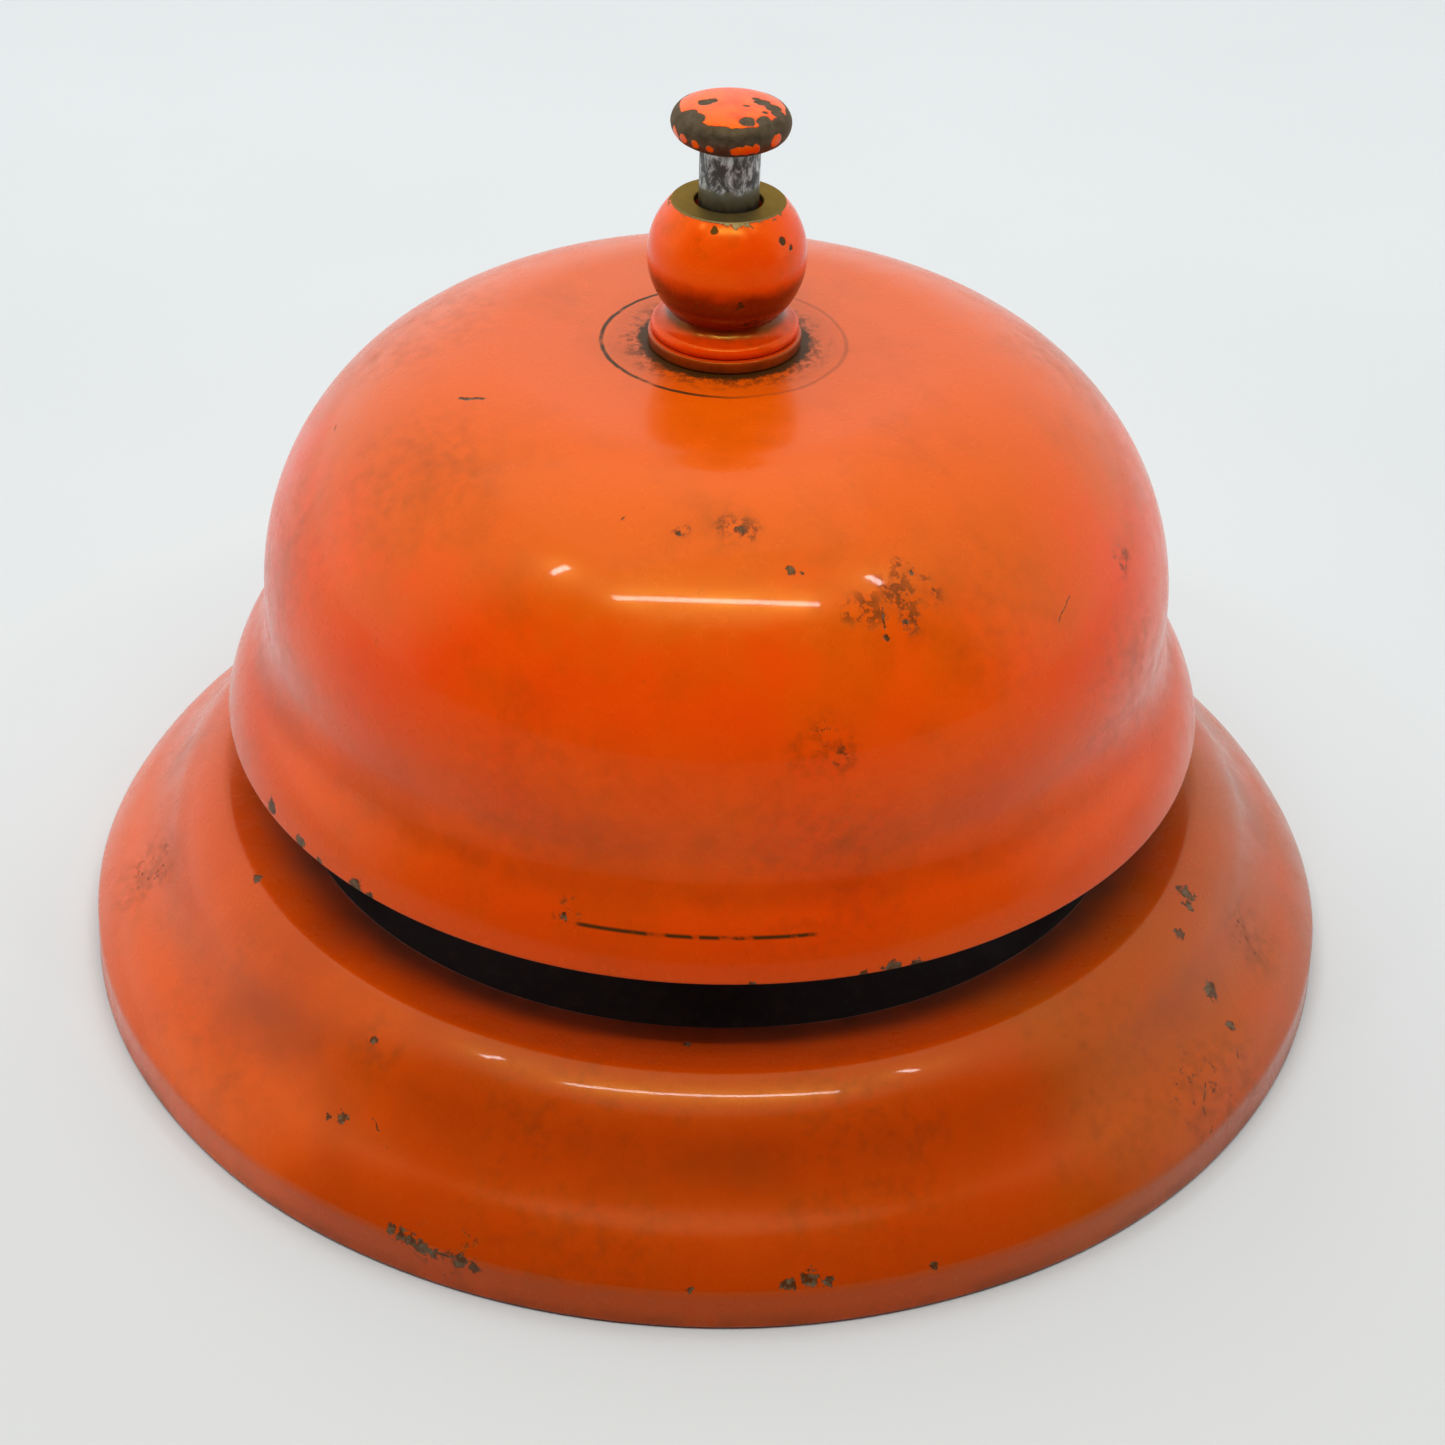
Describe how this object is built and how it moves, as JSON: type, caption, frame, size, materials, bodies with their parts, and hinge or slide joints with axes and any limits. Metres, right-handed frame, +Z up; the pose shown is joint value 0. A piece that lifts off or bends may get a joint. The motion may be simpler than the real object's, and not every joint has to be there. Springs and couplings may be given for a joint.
{
  "type": "service bell",
  "caption": "Round counter-top service bell with a flared pressed base, a spun bell on a hollow post, a ball finial and a sprung push button that swings a hammer inside.",
  "frame": {"origin": "centre of the foot ring, on the surface that the bell stands on", "axes": "+Z up along the bell, post and plunger; +X towards the side that the hammer strikes; -Y towards the side that is seen first"},
  "size_m": [0.13, 0.13, 0.0883],
  "materials": {
    "orange_enamel": "worn gloss enamel",
    "black_paint": "dull black paint",
    "zinc_plate": "dull zinc plate",
    "painted_brass": "worn gloss enamel on brass",
    "stem_steel": "tarnished bright steel",
    "painted_button": "enamel worn off to dark metal",
    "spring_steel": "oiled spring steel",
    "plain_brass": "tarnished brass"
  },
  "bodies": {
    "stand": {"base_shell": "orange_enamel", "mechanism_pan": "black_paint", "bell_frame": "zinc_plate", "frame_rivets": "zinc_plate", "post_tube": "zinc_plate", "lock_washer": "zinc_plate", "post_nut": "zinc_plate", "seat_nut": "zinc_plate", "seat_washer": "zinc_plate", "bell_dome": "orange_enamel", "cap_washer": "orange_enamel", "finial_nut": "painted_brass", "pivot_pin": "stem_steel", "pivot_clip": "spring_steel", "pivot_spacers": "plain_brass", "return_spring": "spring_steel"},
    "plunger": {"push_button": "painted_button", "plunger_stem": "stem_steel", "retaining_clip": "spring_steel"},
    "hammer": {"hammer_lever": "zinc_plate", "hammer_bush": "plain_brass", "hammer_head": "plain_brass", "hammer_rivet": "zinc_plate"}
  },
  "joints": [
    {"name": "plunger_press", "type": "slide", "parent": "stand", "child": "plunger", "axis": [0, 0, -1], "range_m": [0, 0.005], "stiffness_N_per_m": 400, "springref_m": -0.004, "deforming": ["return_spring"]},
    {"name": "hammer_swing", "type": "hinge", "parent": "stand", "child": "hammer", "pos_m": [0.02, 0, 0.044], "axis": [0, -1, 0], "range_deg": [0, 14.4]}
  ],
  "couplings": [
    {"joint": "hammer_swing", "follows": "plunger_press", "rad_per_m": 50}
  ]
}
